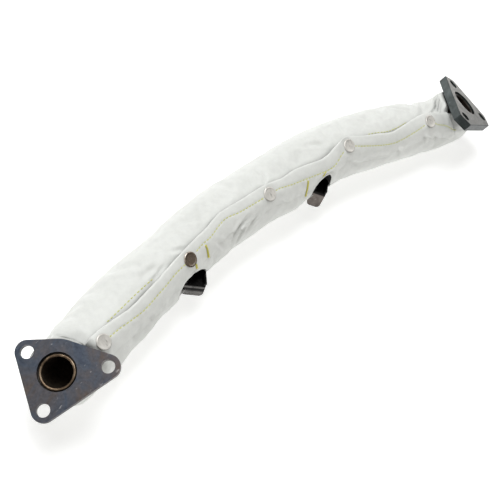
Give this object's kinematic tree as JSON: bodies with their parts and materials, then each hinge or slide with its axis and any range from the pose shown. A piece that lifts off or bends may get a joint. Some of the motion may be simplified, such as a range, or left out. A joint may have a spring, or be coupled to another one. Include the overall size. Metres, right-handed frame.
{
  "type": "jacketed exhaust crossover pipe",
  "caption": "Bowed steel exhaust crossover pipe with a three-bolt flange at each end, in a snap-closed white fabric insulation jacket.",
  "frame": {"origin": "centre of the inlet flange's port, in the plane of its gasket face", "axes": "+X straight to the centre of the outlet gasket face, +Z the side that both flanges face, +Y the side the pipe bows to"},
  "size_m": [0.6885, 0.1118, 0.0844],
  "materials": {
    "inlet_flange_steel": "heat-darkened blued plate steel",
    "outlet_flange_steel": "machined steel, oxide-dark sides",
    "pipe_steel": "straw-tinted stainless tube, sooty inside",
    "seal_weld_bronze": "heat-tinted bronze-brown weld",
    "weld_steel": "rippled weld bead",
    "bracket_steel": "dark scaled pressed steel",
    "facing_cloth": "plain silica cloth",
    "needle_mat": "needled glass-fibre mat",
    "cover_cloth": "coated glass cloth, off-white, soft satin",
    "snap_nickel": "brushed nickel-plated snap",
    "snap_brass": "plain snap internals"
  },
  "bodies": {
    "root": {"inlet_flange": "inlet_flange_steel", "outlet_flange": "outlet_flange_steel", "inlet_elbow": "pipe_steel", "outlet_elbow": "pipe_steel", "run_tube_1": "pipe_steel", "run_tube_2": "pipe_steel", "run_tube_3": "pipe_steel", "run_tube_4": "pipe_steel", "inlet_seal_weld": "seal_weld_bronze", "outlet_seal_weld": "seal_weld_bronze", "inlet_fillet_weld": "weld_steel", "outlet_fillet_weld": "weld_steel", "inlet_butt_weld": "weld_steel", "outlet_butt_weld": "weld_steel", "bracket_1": "bracket_steel", "bracket_2": "bracket_steel", "facing_inlet": "facing_cloth", "facing_outlet": "facing_cloth", "facing_run": "facing_cloth", "mat_inlet": "needle_mat", "mat_outlet": "needle_mat", "mat_run_1": "needle_mat", "mat_run_2": "needle_mat", "mat_run_3": "needle_mat", "mat_run_4": "needle_mat", "cover_inlet": "cover_cloth", "cover_outlet": "cover_cloth", "cover_run": "cover_cloth", "inlet_hem": "cover_cloth", "outlet_hem": "cover_cloth", "closure_flap": "cover_cloth", "opening_patch_1": "cover_cloth", "opening_patch_2": "cover_cloth", "snap_cap_1": "snap_nickel", "snap_cap_2": "snap_nickel", "snap_cap_3": "snap_nickel", "snap_cap_4": "snap_nickel", "snap_cap_5": "snap_nickel", "snap_socket_1": "snap_brass", "snap_socket_2": "snap_brass", "snap_socket_3": "snap_brass", "snap_socket_4": "snap_brass", "snap_socket_5": "snap_brass", "snap_stud_1": "snap_brass", "snap_stud_2": "snap_brass", "snap_stud_3": "snap_brass", "snap_stud_4": "snap_brass", "snap_stud_5": "snap_brass", "snap_rivet_1": "snap_brass", "snap_rivet_2": "snap_brass", "snap_rivet_3": "snap_brass", "snap_rivet_4": "snap_brass", "snap_rivet_5": "snap_brass"}
  },
  "joints": []
}
